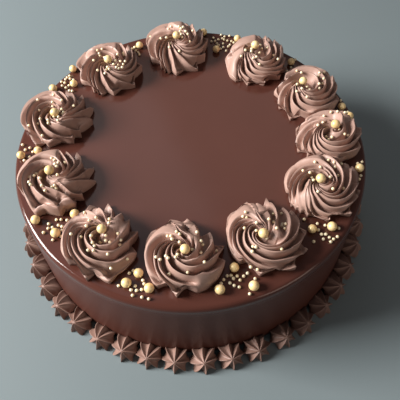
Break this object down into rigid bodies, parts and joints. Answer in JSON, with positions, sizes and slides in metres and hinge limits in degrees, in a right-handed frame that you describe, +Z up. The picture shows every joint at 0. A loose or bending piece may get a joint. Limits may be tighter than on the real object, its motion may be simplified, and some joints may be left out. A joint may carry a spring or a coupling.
{
  "type": "chocolate truffle cake",
  "caption": "Round chocolate-glazed truffle cake with piped cream rosettes round the top, gold sugar pearls and a border of small piped stars at the foot.",
  "frame": {"origin": "on the ground under the middle of the cake", "axes": "+Z up, -Y towards the side the picture was taken from, +X to the right in the picture"},
  "size_m": [0.2752, 0.2753, 0.0967],
  "materials": {
    "glaze": "semi-gloss dark chocolate glaze",
    "cream": "satin whipped chocolate cream",
    "pearl": "pearly pale gold sugar coating"
  },
  "bodies": {
    "root": {"cake": "glaze", "rosette_01": "cream", "rosette_02": "cream", "rosette_03": "cream", "rosette_04": "cream", "rosette_05": "cream", "rosette_06": "cream", "rosette_07": "cream", "rosette_08": "cream", "rosette_09": "cream", "rosette_10": "cream", "rosette_11": "cream", "foot_star_01": "cream", "foot_star_02": "cream", "foot_star_03": "cream", "foot_star_04": "cream", "foot_star_05": "cream", "foot_star_06": "cream", "foot_star_07": "cream", "foot_star_08": "cream", "foot_star_09": "cream", "foot_star_10": "cream", "foot_star_11": "cream", "foot_star_12": "cream", "foot_star_13": "cream", "foot_star_14": "cream", "foot_star_15": "cream", "foot_star_16": "cream", "foot_star_17": "cream", "foot_star_18": "cream", "foot_star_19": "cream", "foot_star_20": "cream", "foot_star_21": "cream", "foot_star_22": "cream", "foot_star_23": "cream", "foot_star_24": "cream", "foot_star_25": "cream", "foot_star_26": "cream", "foot_star_27": "cream", "foot_star_28": "cream", "foot_star_29": "cream", "foot_star_30": "cream", "foot_star_31": "cream", "foot_star_32": "cream", "foot_star_33": "cream", "foot_star_34": "cream", "foot_star_35": "cream", "foot_star_36": "cream", "foot_star_37": "cream", "foot_star_38": "cream", "foot_star_39": "cream", "foot_star_40": "cream", "foot_star_41": "cream", "foot_star_42": "cream", "foot_star_43": "cream"}
  },
  "joints": []
}
